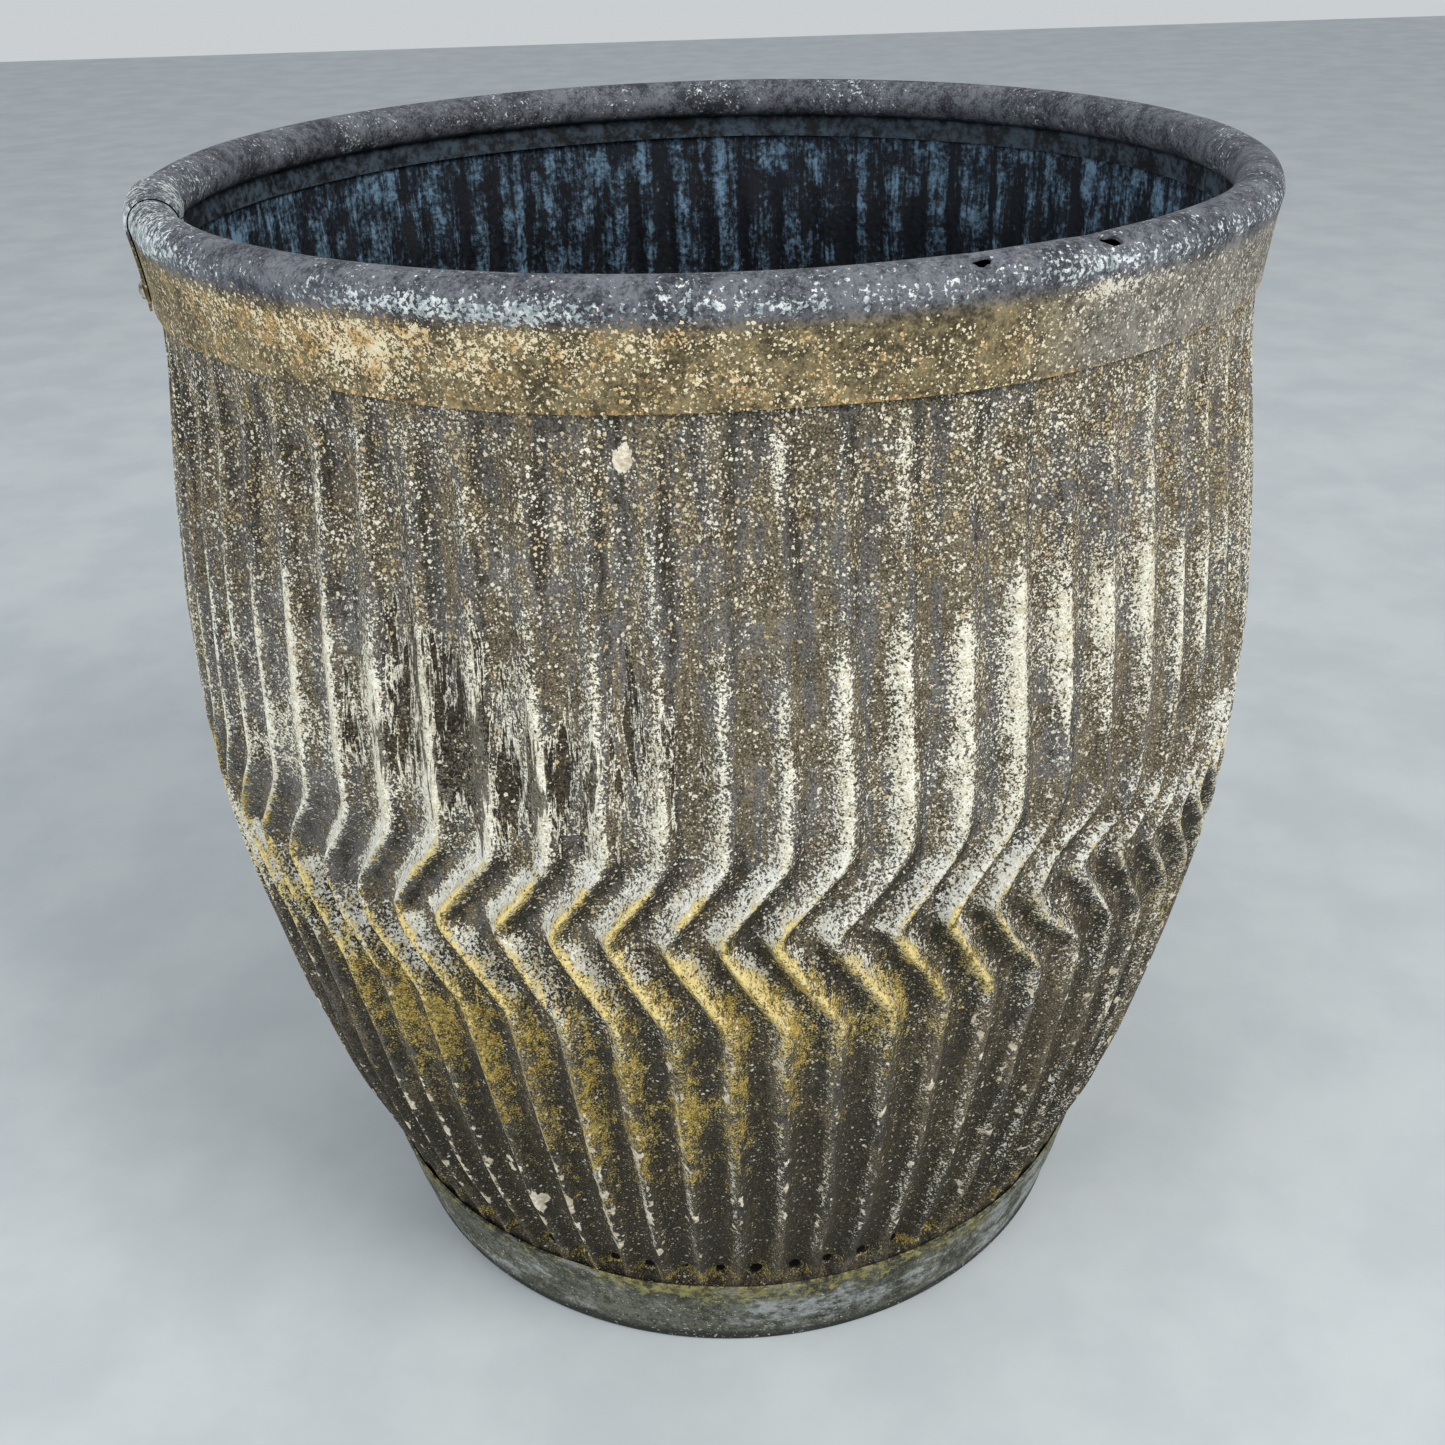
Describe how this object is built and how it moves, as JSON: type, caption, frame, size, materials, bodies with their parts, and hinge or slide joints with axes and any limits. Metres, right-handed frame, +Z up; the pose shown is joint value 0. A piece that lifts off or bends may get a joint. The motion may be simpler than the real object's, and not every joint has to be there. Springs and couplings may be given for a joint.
{
  "type": "dolly tub planter",
  "caption": "Barrel-shaped fluted metal tub with a zigzag crease, a rolled rim band and a plain foot band, open at the top for planting.",
  "frame": {"origin": "centre of the foot at floor level", "axes": "+Z up through the mouth; the front faces -Y; the side seams are at -X and +X"},
  "size_m": [0.4982, 0.4988, 0.5314],
  "materials": {
    "wall_steel": "matte",
    "rim_steel": "matte",
    "foot_steel": "matte",
    "base_steel": "matte",
    "rivet_steel": "matte"
  },
  "bodies": {
    "root": {"wall_panel_front": "wall_steel", "wall_panel_back": "wall_steel", "rim_band": "rim_steel", "foot_band": "foot_steel", "base_plate": "base_steel", "seam_rivet_left_1": "rivet_steel", "seam_rivet_left_2": "rivet_steel", "seam_rivet_left_3": "rivet_steel", "seam_rivet_left_4": "rivet_steel", "seam_rivet_left_5": "rivet_steel", "seam_rivet_left_6": "rivet_steel", "seam_rivet_left_7": "rivet_steel", "seam_rivet_right_1": "rivet_steel", "seam_rivet_right_2": "rivet_steel", "seam_rivet_right_3": "rivet_steel", "seam_rivet_right_4": "rivet_steel", "seam_rivet_right_5": "rivet_steel", "seam_rivet_right_6": "rivet_steel", "seam_rivet_right_7": "rivet_steel", "rim_lap_rivet_1": "rivet_steel", "rim_lap_rivet_2": "rivet_steel"}
  },
  "joints": []
}
